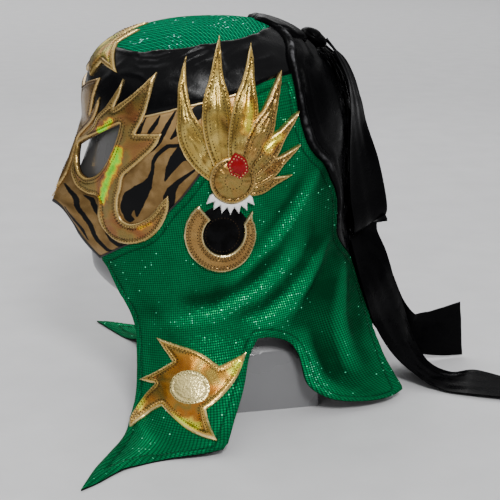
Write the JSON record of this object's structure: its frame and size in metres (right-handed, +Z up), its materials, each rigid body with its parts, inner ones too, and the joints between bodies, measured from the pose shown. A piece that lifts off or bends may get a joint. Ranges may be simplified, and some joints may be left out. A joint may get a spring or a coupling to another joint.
{
  "type": "lucha libre mask on a display head form",
  "caption": "Laced full-head wrestling mask with long skirt flaps and sewn-on foil ornament, worn by a plain display head form.",
  "frame": {"origin": "middle of the underside of the head form, on the surface it stands on", "axes": "+Z up; the mask faces -Y; the wearer's left is +X"},
  "size_m": [0.3517, 0.3695, 0.2986],
  "materials": {
    "form_plastic": "smooth satin-gloss grey plastic",
    "green_cloth": "holographic green stretch cloth with fine foil dots",
    "black_satin": "semi-gloss black stretch satin",
    "tiger_cloth": "black satin with dull gold foil stripes",
    "gold_foil": "metallic gold foil leatherette, stitched, holographic sheen",
    "light_foil": "pale metallic gold leatherette, stitched",
    "white_vinyl": "white gloss vinyl",
    "red_vinyl": "red gloss vinyl"
  },
  "bodies": {
    "root": {"display_head_form": "form_plastic", "crown_panel": "green_cloth", "forehead_band": "black_satin", "face_panel": "tiger_cloth", "bridge_flames": "gold_foil", "forehead_star": "gold_foil", "lacing": "black_satin", "back_tongue": "black_satin", "tie_knot": "black_satin", "left_skirt": "green_cloth", "left_back_facing": "black_satin", "left_eye_surround": "gold_foil", "left_plume": "gold_foil", "left_scroll": "light_foil", "left_teeth": "white_vinyl", "left_lining": "black_satin", "left_gem": "red_vinyl", "left_flap_star": "gold_foil", "left_star_disc": "light_foil", "left_tie_loop": "black_satin", "left_tie_end": "black_satin", "right_skirt": "green_cloth", "right_back_facing": "black_satin", "right_eye_surround": "gold_foil", "right_plume": "gold_foil", "right_scroll": "light_foil", "right_teeth": "white_vinyl", "right_lining": "black_satin", "right_gem": "red_vinyl", "right_flap_star": "gold_foil", "right_star_disc": "light_foil", "right_tie_loop": "black_satin", "right_tie_end": "black_satin"}
  },
  "joints": []
}
